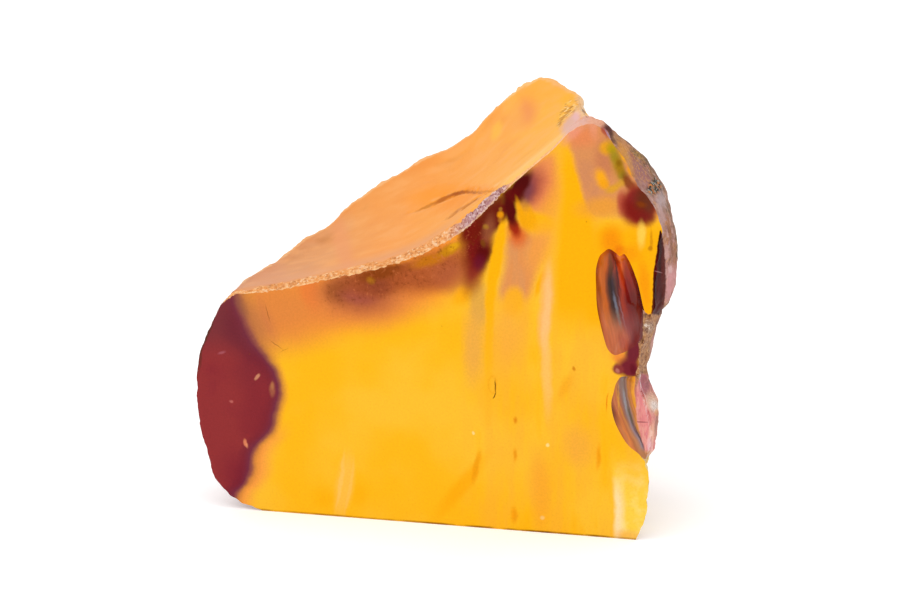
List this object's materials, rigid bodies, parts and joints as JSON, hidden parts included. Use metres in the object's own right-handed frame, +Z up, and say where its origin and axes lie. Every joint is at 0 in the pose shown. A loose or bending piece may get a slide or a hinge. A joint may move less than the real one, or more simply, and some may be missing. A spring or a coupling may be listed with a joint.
{
  "type": "rough mookaite jasper",
  "caption": "Rough piece of mookaite jasper with a flat sawn front, a flat base, a concave broken top, shell-shaped flake scars and a natural rind.",
  "frame": {"origin": "middle of the stone's bounding box in X and Y, at the height of the flat base", "axes": "+Z up; X runs along the sawn face, which faces -Y; the maroon end is at -X and the peak is towards +X"},
  "size_m": [0.0766, 0.0382, 0.0681],
  "materials": {
    "jasper": "satin sawn face in mustard yellow with maroon, pink and grey zones; matt broken faces and a rough purple-grey rind"
  },
  "bodies": {
    "root": {"mookaite_stone": "jasper"}
  },
  "joints": []
}
